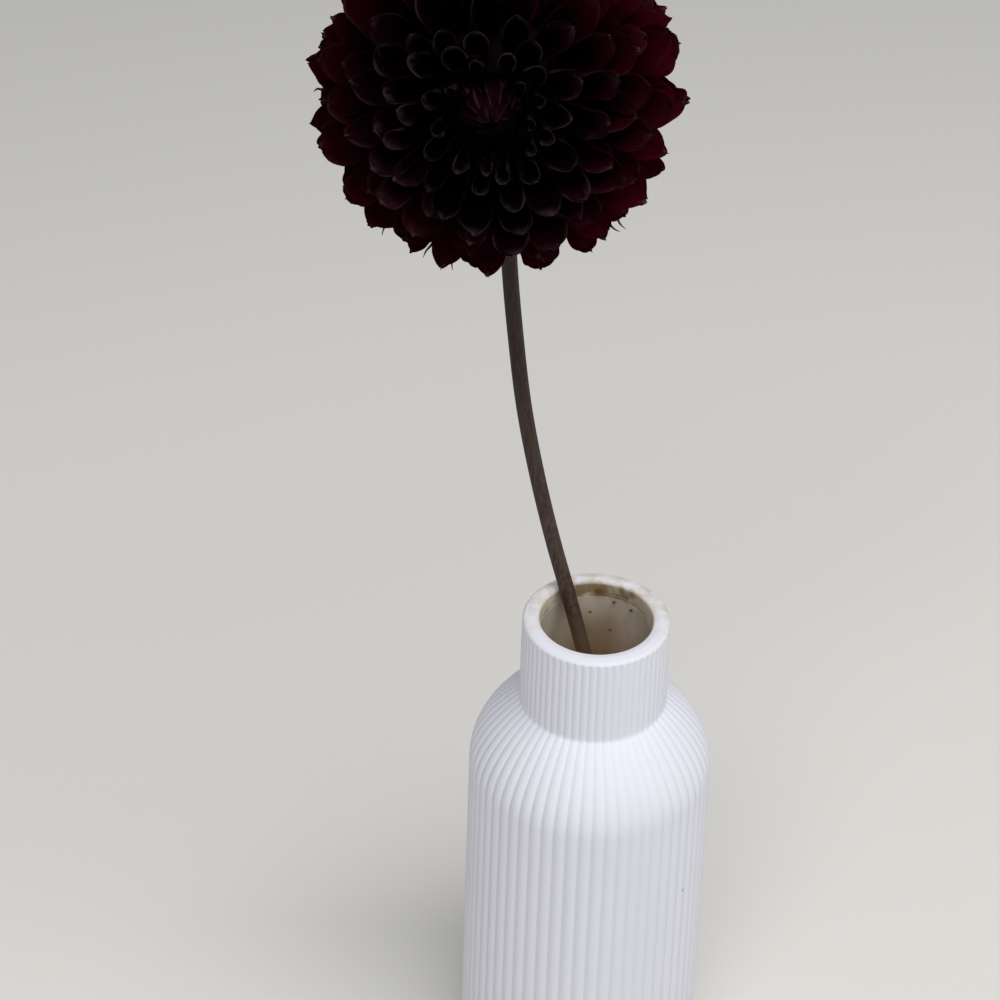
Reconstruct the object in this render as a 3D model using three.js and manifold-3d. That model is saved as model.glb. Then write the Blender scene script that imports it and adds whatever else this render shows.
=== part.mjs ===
// A dark ball dahlia on one bare stem, standing in a ribbed white bottle vase filled with water.
// Lengths are millimetres, +Z is up, and the origin is the centre of the face that the vase stands on.
import * as THREE from "three";
import { mergeVertices } from "three/addons/utils/BufferGeometryUtils.js";
import Module from "manifold-3d";

const wasm = await Module();
wasm.setup();

// Driving dimensions

// Vase
const VASE_HEIGHT = 200;
const FOOT_RADIUS = 43;
const FOOT_CHAMFER = 1.2;
const BODY_RADIUS = 40.1;
const SHOULDER_DROP = 27.7;
const SHOULDER_SLOPE = THREE.MathUtils.degToRad(46);
const SHOULDER_START_PULL = 4.3;
const SHOULDER_END_PULL = 13.3;
const NECK_HEIGHT = 32;
const NECK_FOOT_RADIUS = 24;
const LIP_RADIUS = 23.5;
const LIP_ROUNDING = 1.5;
const RIM_ROUNDING = 1;
const MOUTH_RADIUS = 18;
const WALL = 5;
const FLOOR = 6;
const RIBS = 60;
const BODY_RIB_DEPTH = 0.75;
const NECK_RIB_DEPTH = 0.5;
const BORE_SEGMENTS = 36;

// Water and the clearance that touching pieces keep
const WATER_BELOW_RIM = 7;
const GAP = 0.3;

// Edges shorter than this are merged after a join
const SLIVER = 0.03;

// Flower head: its centre in the vase's frame, and how far its axis is raised from level
const HEAD_CENTRE = new THREE.Vector3(-33.3, -6, 379.9);
const HEAD_RAISE = THREE.MathUtils.degToRad(11);
const HEAD_RADIUS = 48;
const HEAD_FRONT = 40;
const HEAD_BACK = 31;

// Open petals, counted from the eye to the back of the head
const PETALS = 108;
const GOLDEN_ANGLE = Math.PI * (3 - Math.sqrt(5));
const FIRST_POLAR = THREE.MathUtils.degToRad(18.5);
const LAST_POLAR = THREE.MathUtils.degToRad(150);
const CROWDING = 1.4;
const PETAL_BREADTH = 8.2;
const PETAL_THICKNESS = 0.7;
const PETAL_COLUMNS = 4;
const PETAL_FOOT = 0.15;
const PETAL_ROOT = 0.4;

// Seats of the core that carries the petals, as heights on the head's axis
const CORE_SEAT_FRONT = 19.7;
const CORE_SEAT_BACK = -27;

// Closed florets in the eye
const CLOSED_FLORETS = 26;
const EYE_RADIUS = 9.2;
const EYE_DOME = 8;

// Green parts behind the head
const CALYX_BACK = -34;
const INNER_BRACTS = 8;
const OUTER_BRACTS = 5;

// Stem
const STEM_RADIUS = 2.45;
const STEM_SIDES = 10;
const STEM_STEPS = 36;

// Finishes

function finish(color, roughness) {
  return new THREE.MeshStandardMaterial({ color, roughness, metalness: 0 });
}

const finishes = {
  vase: finish(0xe4e6ea, 0.75),
  water: finish(0xb59f7c, 0.1),
  stem: finish(0x3d312d, 0.6),
  calyx: finish(0x4a4a2c, 0.65),
  bloom: finish(0x30060c, 0.7),
  closed_florets: finish(0x3a1230, 0.6),
};

// Solids from meshes and back

function solidFrom(geometry) {
  const bare = geometry.clone();
  bare.deleteAttribute("normal");
  bare.deleteAttribute("uv");
  const merged = mergeVertices(bare, 1e-4);
  const triVerts = new Uint32Array(merged.index.array);
  const vertProperties = merged.attributes.position.array;
  return new wasm.Manifold(new wasm.Mesh({ numProp: 3, vertProperties, triVerts }));
}

function geometryFrom(solid) {
  const mesh = solid.getMesh();
  const geometry = new THREE.BufferGeometry();
  geometry.setAttribute("position", new THREE.BufferAttribute(mesh.vertProperties, 3));
  geometry.setIndex(new THREE.BufferAttribute(mesh.triVerts, 1));
  geometry.computeVertexNormals();
  return geometry;
}

// Crossing blades meet in edges far shorter than the form needs, and in flat needles. The ends of a
// short edge become one point; a needle's long edge is swapped for the one that crosses it.
function withoutSlivers(solid) {
  const { vertProperties: places, triVerts } = solid.getMesh();
  const corners = [];
  for (let i = 0; i < places.length; i += 3) corners.push(new THREE.Vector3().fromArray(places, i));
  const around = corners.map(() => new Set());
  const faces = new Set();
  const hold = (face) => {
    faces.add(face);
    for (const corner of face) around[corner].add(face);
  };
  const drop = (face) => {
    faces.delete(face);
    for (const corner of face) around[corner].delete(face);
  };
  for (let i = 0; i < triVerts.length; i += 3) hold(Array.from(triVerts.subarray(i, i + 3)));
  const gap = (a, b) => corners[a].distanceTo(corners[b]);
  const linked = (corner) => new Set([...around[corner]].flat());
  const edgesOf = ([a, b, c]) => [
    [a, b, c],
    [b, c, a],
    [c, a, b],
  ];
  const longer = (one, other) => (gap(one[0], one[1]) >= gap(other[0], other[1]) ? one : other);

  for (const face of [...faces]) {
    const short = faces.has(face) && edgesOf(face).find(([a, b]) => gap(a, b) < SLIVER);
    if (!short) continue;
    const [kept, gone] = short;
    const beyond = linked(gone);
    if ([...linked(kept)].filter((corner) => beyond.has(corner)).length !== 4) continue;
    for (const other of [...around[gone]]) {
      drop(other);
      if (!other.includes(kept)) hold(other.map((corner) => (corner === gone ? kept : corner)));
    }
  }

  for (const face of [...faces]) {
    if (!faces.has(face)) continue;
    const [a, b, tip] = edgesOf(face).reduce(longer);
    const triangle = new THREE.Triangle(corners[a], corners[b], corners[tip]);
    if ((2 * triangle.getArea()) / gap(a, b) > SLIVER / 2) continue;
    const twin = [...around[a]].find((other) => other !== face && other.includes(b));
    const far = twin.find((corner) => corner !== a && corner !== b);
    if (linked(tip).has(far)) continue;
    drop(face);
    drop(twin);
    hold([a, far, tip]);
    hold([far, b, tip]);
  }

  const geometry = new THREE.BufferGeometry();
  geometry.setAttribute("position", new THREE.Float32BufferAttribute(places, 3));
  geometry.setIndex([...faces].flat());
  return solidFrom(geometry);
}

// Fusing can seal a hollow or leave a scrap: the largest body alone is the piece with both gone.
function fused(solids) {
  const whole = withoutSlivers(solids.reduce((sum, next) => sum.add(next)));
  return whole.decompose().reduce((best, body) => (body.volume() > best.volume() ? body : best));
}

function namedMesh(name, solid) {
  const mesh = new THREE.Mesh(geometryFrom(solid), finishes[name]);
  mesh.name = name;
  return mesh;
}

// A profile of [radius, height] pairs turned round the Z axis.
function turned(profile, segments) {
  const points = profile.map(([radius, height]) => new THREE.Vector2(radius, height));
  return new THREE.LatheGeometry(points, segments).rotateX(Math.PI / 2);
}

// A thin blade over a grid of (across, along) values: its back face is the grid that pointAt gives,
// its front face the same grid one thickness further, and both are split into triangles alike.
function bladeSolid(columns, rows, pointAt) {
  const positions = [];
  for (const face of [0, 1]) {
    for (const along of rows) {
      for (let column = 0; column <= columns; column += 1) {
        positions.push(...pointAt((2 * column) / columns - 1, along, face).toArray());
      }
    }
  }
  const wide = columns + 1;
  const faceSize = wide * rows.length;
  const index = [];
  for (let row = 0; row < rows.length - 1; row += 1) {
    for (let column = 0; column < columns; column += 1) {
      const a = row * wide + column;
      const [b, c, d] = [a + 1, a + wide, a + wide + 1];
      index.push(a, b, c, b, d, c);
      index.push(faceSize + a, faceSize + c, faceSize + b, faceSize + b, faceSize + c, faceSize + d);
    }
  }
  const edge = [];
  const lastRow = (rows.length - 1) * wide;
  for (let column = 0; column < columns; column += 1) edge.push(column);
  for (let row = 0; row < rows.length - 1; row += 1) edge.push(row * wide + columns);
  for (let column = columns; column > 0; column -= 1) edge.push(lastRow + column);
  for (let row = rows.length - 1; row > 0; row -= 1) edge.push(row * wide);
  edge.forEach((a, place) => {
    const b = edge[(place + 1) % edge.length];
    index.push(a, faceSize + b, b, a, faceSize + a, faceSize + b);
  });
  const geometry = new THREE.BufferGeometry();
  geometry.setAttribute("position", new THREE.Float32BufferAttribute(positions, 3));
  geometry.setIndex(index);
  return solidFrom(geometry);
}

// Vase

function shoulderCurve(inset) {
  const start = new THREE.Vector2(NECK_FOOT_RADIUS - inset, VASE_HEIGHT - NECK_HEIGHT - inset / 2);
  const end = new THREE.Vector2(BODY_RADIUS - inset, VASE_HEIGHT - NECK_HEIGHT - SHOULDER_DROP);
  const startPull = new THREE.Vector2(Math.cos(SHOULDER_SLOPE), -Math.sin(SHOULDER_SLOPE));
  return new THREE.CubicBezierCurve(
    start,
    startPull.multiplyScalar(SHOULDER_START_PULL).add(start),
    new THREE.Vector2(end.x, end.y + SHOULDER_END_PULL),
    end,
  );
}

function shoulderPoints(inset, steps) {
  return shoulderCurve(inset).getPoints(steps).reverse().map((point) => [point.x, point.y]);
}

// How deep the grooves are at a height: none on the foot's edge and the lip, finer on the neck.
function ribDepth(height) {
  const neckFoot = VASE_HEIGHT - NECK_HEIGHT;
  const lipFoot = VASE_HEIGHT - LIP_ROUNDING;
  const shoulderFoot = neckFoot - SHOULDER_DROP;
  const depth = THREE.MathUtils.mapLinear(height, shoulderFoot, neckFoot, BODY_RIB_DEPTH, NECK_RIB_DEPTH);
  const low = THREE.MathUtils.smoothstep(height, 0, FOOT_CHAMFER);
  const high = 1 - THREE.MathUtils.smoothstep(height, lipFoot - LIP_ROUNDING, lipFoot);
  return THREE.MathUtils.clamp(depth, NECK_RIB_DEPTH, BODY_RIB_DEPTH) * low * high;
}

function grooved(geometry) {
  const position = geometry.attributes.position;
  for (let i = 0; i < position.count; i += 1) {
    const [x, y, z] = [position.getX(i), position.getY(i), position.getZ(i)];
    const radius = Math.hypot(x, y);
    if (radius < MOUTH_RADIUS) continue;
    const wave = (1 - Math.cos(RIBS * Math.atan2(y, x))) / 2;
    const scale = 1 - (ribDepth(z) * wave) / radius;
    position.setXY(i, x * scale, y * scale);
  }
  return geometry;
}

function vaseOutside() {
  const top = VASE_HEIGHT;
  return solidFrom(
    grooved(
      turned(
        [
          [0, 0],
          [FOOT_RADIUS - FOOT_CHAMFER, 0],
          [FOOT_RADIUS, FOOT_CHAMFER],
          ...shoulderPoints(0, 4),
          [LIP_RADIUS, top - 2 * LIP_ROUNDING],
          [LIP_RADIUS, top - LIP_ROUNDING],
          [LIP_RADIUS - 0.3 * LIP_ROUNDING, top - 0.3 * LIP_ROUNDING],
          [LIP_RADIUS - LIP_ROUNDING, top],
          [0, top],
        ],
        2 * RIBS,
      ),
    ),
  );
}

// The vase's hollow up to a height, drawn in by a clearance on every side.
function hollow(topProfile, clearance) {
  const inset = WALL + clearance;
  return solidFrom(
    turned(
      [
        [0, FLOOR + clearance],
        [FOOT_RADIUS - inset - 3, FLOOR + clearance],
        [FOOT_RADIUS - inset, FLOOR + clearance + 3],
        ...shoulderPoints(inset, 3).slice(0, -1),
        [MOUTH_RADIUS - clearance, VASE_HEIGHT - NECK_HEIGHT - inset / 2],
        ...topProfile,
      ],
      BORE_SEGMENTS,
    ),
  );
}

function vaseSolid() {
  const top = VASE_HEIGHT;
  const bore = hollow(
    [
      [MOUTH_RADIUS, top - RIM_ROUNDING],
      [MOUTH_RADIUS + 0.3 * RIM_ROUNDING, top - 0.3 * RIM_ROUNDING],
      [MOUTH_RADIUS + RIM_ROUNDING, top + 0.01],
      [0, top + 0.01],
    ],
    0,
  );
  return fused([vaseOutside().subtract(bore)]);
}

// Head frame: its own +Z is the flower's axis, pointing out of the face

function headGroup() {
  const group = new THREE.Group();
  group.rotation.x = Math.PI / 2 - HEAD_RAISE;
  group.position.copy(HEAD_CENTRE);
  return group;
}

function headPoint(along) {
  const axis = new THREE.Vector3(0, -Math.cos(HEAD_RAISE), Math.sin(HEAD_RAISE));
  return axis.multiplyScalar(along).add(HEAD_CENTRE);
}

// Stem: from the vase's floor it leans on the rim, straightens as it rises, and nods into the head

const stemPath = new THREE.CatmullRomCurve3(
  [
    new THREE.Vector3(22.2, -21.2, FLOOR + GAP + 0.3),
    new THREE.Vector3(20.1, -18.4, 60),
    new THREE.Vector3(12.9, -10.6, 112),
    new THREE.Vector3(2.1, 0.6, 160.6),
    new THREE.Vector3(-8.4, 10.8, 195.9),
    new THREE.Vector3(-15.2, 16.4, 217.4),
    new THREE.Vector3(-20.8, 20.9, 238.4),
    new THREE.Vector3(-25.7, 25.2, 261.4),
    new THREE.Vector3(-29, 29.2, 284.8),
    new THREE.Vector3(-31.3, 32.4, 306.3),
    new THREE.Vector3(-32.8, 34.8, 332.3),
    new THREE.Vector3(-33.3, 35.4, 352.3),
    new THREE.Vector3(-33.3, 33.2, 364.3),
    headPoint(CALYX_BACK - GAP - 2.5),
    headPoint(CALYX_BACK - GAP),
  ],
  false,
  "centripetal",
);

function stemSolid(radius) {
  const section = new THREE.Shape();
  for (let side = 0; side < STEM_SIDES; side += 1) {
    const angle = (2 * Math.PI * side) / STEM_SIDES;
    const [x, y] = [radius * Math.cos(angle), radius * Math.sin(angle)];
    if (side === 0) section.moveTo(x, y);
    else section.lineTo(x, y);
  }
  section.closePath();
  const options = { steps: STEM_STEPS, extrudePath: stemPath, bevelEnabled: false };
  return solidFrom(new THREE.ExtrudeGeometry(section, options));
}

function waterSolid() {
  const surface = VASE_HEIGHT - WATER_BELOW_RIM;
  const body = hollow(
    [
      [MOUTH_RADIUS - GAP, surface],
      [0, surface],
    ],
    GAP,
  );
  return fused([body.subtract(stemSolid(STEM_RADIUS + GAP))]);
}

// Calyx: the swollen end of the stem with two rings of bracts

function calyxSolid() {
  const rise = CORE_SEAT_BACK - GAP;
  const cup = solidFrom(
    turned(
      [
        [0, CALYX_BACK],
        [2.7, CALYX_BACK],
        [3.6, CALYX_BACK + 2],
        [8.5, rise - 1.4],
        [9.5, rise],
        [0, rise],
      ],
      20,
    ),
  );
  const inner = [];
  for (let i = 0; i < INNER_BRACTS; i += 1) {
    const turn = (2 * Math.PI * (i + 0.15)) / INNER_BRACTS;
    inner.push(bractSolid(turn, [6.2, 10.5, 13.8, 16.2], [-28.9, -28.5, -27.8, -27.2], 4.6));
  }
  const outer = [];
  for (let i = 0; i < OUTER_BRACTS; i += 1) {
    const turn = (2 * Math.PI * (i + 0.25)) / OUTER_BRACTS;
    outer.push(bractSolid(turn, [4.2, 9.5, 13.5, 16.5], [-30.4, -30.6, -32.2, -35.4], 2.6));
  }
  return fused([cup, ...inner, ...outer]);
}

// A bract along a path of radii and heights, broadest at its second place and pointed at its end.
function bractSolid(turn, radii, heights, halfWidth) {
  const share = [0.4, 1, 0.8, 0.15];
  const places = radii.map((_, place) => place);
  const out = new THREE.Vector3(Math.cos(turn), Math.sin(turn), 0);
  const across = new THREE.Vector3(-Math.sin(turn), Math.cos(turn), 0);
  return bladeSolid(2, places, (side, place, face) => {
    const hollowing = 0.5 * side * side;
    return new THREE.Vector3(0, 0, heights[place] + hollowing - (1 - face) * PETAL_THICKNESS)
      .addScaledVector(out, radii[place])
      .addScaledVector(across, side * halfWidth * share[place]);
  });
}

// Bloom: scooped petals on a golden-angle spiral, tight tubes by the eye and open spoons behind

function coreSolid() {
  return solidFrom(
    turned(
      [
        [0, CORE_SEAT_BACK],
        [10, CORE_SEAT_BACK],
        [11.5, -22],
        [18.5, -14],
        [24, -6],
        [25.5, 4],
        [20.5, 15],
        [11.5, CORE_SEAT_FRONT],
        [0, CORE_SEAT_FRONT],
      ],
      16,
    ),
  );
}

function petalPlan(index) {
  const degree = Math.PI / 180;
  const fraction = (index + 0.5) / PETALS;
  const first = Math.cos(FIRST_POLAR);
  const last = Math.cos(LAST_POLAR);
  const even = Math.acos(first - fraction ** CROWDING * (first - last));
  const polar = even + 0.05 * Math.sin(even) * Math.sin(index * 2.3);
  const outward = THREE.MathUtils.smoothstep(polar, 0.5, 1.2);
  const backward = THREE.MathUtils.smoothstep(polar, 1.6, 2.4);
  const opened = 1 - Math.exp(-((polar / (38 * degree)) ** 1.5)) + 0.3 * backward;
  const tube = PETAL_BREADTH * opened * (1 + 0.12 * Math.sin(index * 3.7));
  const roll = (48 + 95 * Math.exp(-polar / (50 * degree))) * degree;
  return {
    polar,
    tube,
    root: PETAL_ROOT + 0.25 * backward,
    azimuth: index * GOLDEN_ANGLE + 0.09 * Math.sin(index * 1.7),
    reach: 1 + 0.035 * Math.sin(index * 4.1),
    roll: roll * (1 + 0.1 * Math.sin(index * 5.9)),
    bend: 0.03 - 0.065 * polar,
    stand: 0.3 * Math.exp(-polar / (24 * degree)),
    turn: 0.3 * Math.sin(index * 3.1),
    widest: Math.max(0.5, 1 - 0.05 * tube),
    cup: 0.12 + 0.2 * outward,
    flare: 0.3 - 0.2 * outward,
  };
}

// Share of the full width along a petal: a narrow claw, the broadest place, then a rounded end.
function petalWidth(along, { root, widest }) {
  const claw = root + (1 - root) * THREE.MathUtils.smoothstep(along, 0, widest);
  const past = Math.max(0, (along - widest) / (1 - widest));
  return { claw, past, end: Math.max(0.42, (1 - past ** 2) ** 0.6) };
}

// The blade is a strip of a tube: its lift is how far it stands from the petal's own straight line.
function petalSolid(index) {
  const plan = petalPlan(index);
  const depth = plan.polar < Math.PI / 2 ? HEAD_FRONT : HEAD_BACK;
  const out = new THREE.Vector3(Math.sin(plan.polar) * HEAD_RADIUS, 0, Math.cos(plan.polar) * depth);
  const length = out.length() * plan.reach;
  out.normalize();
  const inward = new THREE.Vector3(-out.z, 0, out.x);
  const side = new THREE.Vector3(0, 1, 0);
  const rows = [PETAL_FOOT, 0.65 * plan.widest + 0.35, 1];
  return bladeSolid(PETAL_COLUMNS, rows, (across, along, face) => {
    const { claw, past, end } = petalWidth(along, plan);
    const tube = plan.tube * claw;
    const angle = across * plan.roll * end;
    const radius = tube - face * PETAL_THICKNESS;
    const sideways = radius * Math.sin(angle);
    const raised = tube - radius * Math.cos(angle);
    const path = length * (plan.bend * along * along - plan.stand * (1 - along));
    const cup = plan.cup * tube * (1 - Math.cos(plan.roll)) * (1 - end);
    const flare = plan.flare * plan.tube * past * past;
    const lift = path + cup - flare + raised * Math.cos(plan.turn) - sideways * Math.sin(plan.turn);
    return new THREE.Vector3()
      .addScaledVector(out, length * (PETAL_ROOT + (1 - PETAL_ROOT) * along))
      .addScaledVector(inward, lift)
      .addScaledVector(side, sideways * Math.cos(plan.turn) + raised * Math.sin(plan.turn))
      .applyAxisAngle(new THREE.Vector3(0, 0, 1), plan.azimuth);
  });
}

function bloomSolid() {
  const petals = Array.from({ length: PETALS }, (_, index) => petalSolid(index));
  return fused([coreSolid(), ...petals]);
}

// Eye: closed florets leaning together over a low dome

function floretSolid(index) {
  const fraction = Math.sqrt((index + 0.5) / CLOSED_FLORETS);
  const radius = fraction * (EYE_RADIUS - 1.6);
  const seat = CORE_SEAT_FRONT + GAP + EYE_DOME * (1 - 0.92 * fraction * fraction) - 0.5;
  const length = 5 + 3.2 * fraction;
  const lean = -0.45 * fraction;
  const bud = turned(
    [
      [0, 0],
      [1.0, 0],
      [1.6, 0.5 * length],
      [1.0, 0.85 * length],
      [0, length],
    ],
    5,
  );
  bud.rotateY(lean);
  bud.translate(radius, 0, seat);
  bud.rotateZ(index * GOLDEN_ANGLE);
  return solidFrom(bud);
}

function eyeSolid() {
  const seat = CORE_SEAT_FRONT + GAP;
  const dome = solidFrom(
    turned(
      [
        [0, seat],
        [EYE_RADIUS, seat],
        [0.92 * EYE_RADIUS, seat + 0.35 * EYE_DOME],
        [0.6 * EYE_RADIUS, seat + 0.8 * EYE_DOME],
        [0, seat + EYE_DOME],
      ],
      16,
    ),
  );
  const florets = Array.from({ length: CLOSED_FLORETS }, (_, index) => floretSolid(index));
  return fused([dome, ...florets]);
}

// Assembly

const dahlia = new THREE.Group();
dahlia.add(namedMesh("vase", vaseSolid()));
dahlia.add(namedMesh("water", waterSolid()));
dahlia.add(namedMesh("stem", stemSolid(STEM_RADIUS)));

const head = headGroup();
head.add(namedMesh("calyx", calyxSolid()));
head.add(namedMesh("bloom", bloomSolid()));
head.add(namedMesh("closed_florets", eyeSolid()));
dahlia.add(head);

export default dahlia;
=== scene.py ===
# %% [markdown]
# # A ball dahlia in a ribbed vase
# One dark dahlia leans in a white bottle vase. The packed model is loaded first: it is the frame
# that says where every piece goes. The finer pieces made here stand in its places, in metres.

import math

import bmesh
import bpy
import numpy as np
from mathutils import Matrix, Vector


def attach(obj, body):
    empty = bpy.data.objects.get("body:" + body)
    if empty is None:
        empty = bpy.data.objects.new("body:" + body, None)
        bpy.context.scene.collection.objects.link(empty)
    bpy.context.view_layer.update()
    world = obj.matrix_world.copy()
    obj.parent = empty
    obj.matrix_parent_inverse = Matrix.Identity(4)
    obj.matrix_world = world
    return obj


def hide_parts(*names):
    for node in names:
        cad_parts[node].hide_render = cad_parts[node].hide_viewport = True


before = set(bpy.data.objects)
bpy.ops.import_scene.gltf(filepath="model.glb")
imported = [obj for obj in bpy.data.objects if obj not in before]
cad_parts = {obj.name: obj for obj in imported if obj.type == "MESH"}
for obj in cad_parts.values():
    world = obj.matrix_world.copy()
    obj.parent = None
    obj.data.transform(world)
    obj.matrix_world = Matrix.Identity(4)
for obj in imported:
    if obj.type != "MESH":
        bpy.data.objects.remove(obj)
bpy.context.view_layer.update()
scene = bpy.context.scene
MM = 0.001

# %% [markdown]
# ## The camera and the light
# The flower was seen from a little above, with a lens of twice the frame's width, so its upright
# lines lean slightly. A camera is a place and three directions: right, up and backwards. They are
# worked out from the pitch, yaw and roll that the vase's two rims give.

# %% Camera
CAMERA_PLACE = Vector((0, -0.496, 0.596))
PITCH = math.radians(-35.37)
YAW = math.radians(-3.59)
ROLL = math.radians(0.82)
LENS = 72

forward = Vector((math.sin(YAW) * math.cos(PITCH), math.cos(YAW) * math.cos(PITCH), math.sin(PITCH)))
level = Vector((math.cos(YAW), -math.sin(YAW), 0))
upward = level.cross(forward)
right = level * math.cos(ROLL) + upward * math.sin(ROLL)
top = upward * math.cos(ROLL) - level * math.sin(ROLL)
camera = bpy.data.objects.new("camera", bpy.data.cameras.new("camera"))
camera.data.lens = LENS
camera.matrix_world = Matrix.Translation(CAMERA_PLACE) @ Matrix((right, top, -forward)).transposed().to_4x4()
scene.collection.objects.link(camera)
scene.camera = camera
scene.view_settings.view_transform = "Standard"
print("camera looks along", [round(x, 3) for x in forward])

# %% [markdown]
# The light is soft, like that of a wide window: a pale sky gives the shade its brightness, and one
# long lamp high in front, a little to the right, makes the vase's shoulder the brightest place.

# %% Light
SKY = (0.80, 0.81, 0.84, 1)
SKY_STRENGTH = 0.40
LAMP_PLACE = Vector((0.48, -0.96, 2.06))
LAMP_AIM = Vector((0, 0, 0.2))
LAMP_WIDTH = 3.6
LAMP_HEIGHT = 1.0
LAMP_POWER = 54.5


def add_lamp(name, place, aim, width, height, power):
    lamp = bpy.data.lights.new(name, "AREA")
    lamp.shape = "ELLIPSE"
    lamp.size = width
    lamp.size_y = height
    lamp.energy = power
    holder = bpy.data.objects.new(name, lamp)
    holder.location = place
    holder.rotation_euler = (aim - place).to_track_quat("-Z", "Y").to_euler()
    scene.collection.objects.link(holder)


world = bpy.data.worlds.new("pale sky")
scene.world = world
world.use_nodes = True
world.node_tree.nodes["Background"].inputs["Color"].default_value = SKY
world.node_tree.nodes["Background"].inputs["Strength"].default_value = SKY_STRENGTH
add_lamp("wide lamp", LAMP_PLACE, LAMP_AIM, LAMP_WIDTH, LAMP_HEIGHT, LAMP_POWER)
print("lamp", LAMP_WIDTH, "m wide at", list(LAMP_PLACE))

# %% [markdown]
# ## A bench for node trees
# Blender's materials and Geometry Nodes are both trees of small nodes. Writing `1 - mask * 0.5` is
# easier to read than three nodes and their links, so a small class wraps a socket and lets Python's
# own signs add the Math nodes. The same class serves both kinds of tree. Trees can also be drawn by
# hand in the editor, but a script can be read from top to bottom and run again.

# %% Values and the bench


def math_step(operation, swapped=False):
    def step(value, other=None):
        pair = [value] if other is None else [value, other]
        pair = pair[::-1] if swapped else pair
        return value.bench.node("ShaderNodeMath", {"operation": operation}, dict(enumerate(pair)))

    return step


class Value:
    """A socket of a node tree that can be added to, multiplied and so on."""

    __add__ = __radd__ = math_step("ADD")
    __mul__ = __rmul__ = math_step("MULTIPLY")
    __sub__ = math_step("SUBTRACT")
    __rsub__ = math_step("SUBTRACT", swapped=True)
    __truediv__ = math_step("DIVIDE")
    __pow__ = math_step("POWER")
    sine = math_step("SINE")
    cosine = math_step("COSINE")
    arc_cosine = math_step("ARCCOSINE")
    arc_tangent = math_step("ARCTAN2")
    exponent = math_step("EXPONENT")
    root = math_step("SQRT")
    size = math_step("ABSOLUTE")
    fraction = math_step("FRACT")
    at_least = math_step("MAXIMUM")
    at_most = math_step("MINIMUM")
    under = math_step("LESS_THAN")

    def __init__(self, bench, socket):
        self.bench = bench
        self.socket = socket

    def __neg__(self):
        return self * -1

    def smooth(self, low, high):
        """0 below low, 1 above high, and a smooth rise between."""
        sockets = {"Value": self, "From Min": low, "From Max": high}
        return self.bench.node("ShaderNodeMapRange", {"interpolation_type": "SMOOTHSTEP"}, sockets)


class Bench:
    """Adds nodes to one tree: their settings first, then the values or links of their sockets."""

    def __init__(self, tree):
        self.tree = tree

    def node(self, kind, settings=None, sockets=None, out=0):
        node = self.tree.nodes.new(kind)
        for name, setting in (settings or {}).items():
            setattr(node, name, setting)
        for name, value in (sockets or {}).items():
            if isinstance(value, Value):
                self.tree.links.new(value.socket, node.inputs[name])
            else:
                node.inputs[name].default_value = value
        return Value(self, node.outputs[out])

    def parts(self, vector):
        apart = self.node("ShaderNodeSeparateXYZ", sockets={0: vector})
        return [Value(self, socket) for socket in apart.socket.node.outputs]

    def vector(self, x, y, z):
        return self.node("ShaderNodeCombineXYZ", sockets={0: x, 1: y, 2: z})


print("a value knows", [name for name in vars(Value) if not name.startswith("_")])

# %% [markdown]
# ## Geometry trees
# Petals, bracts, florets and ribs all follow a rule, so each is a Geometry Nodes tree with named
# sizes. A tree is run once on a holder object, and its result is kept as a plain mesh. Copies placed
# as instances would be lighter, but an exported model drops them.

# %% Growing a piece from a tree


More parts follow.
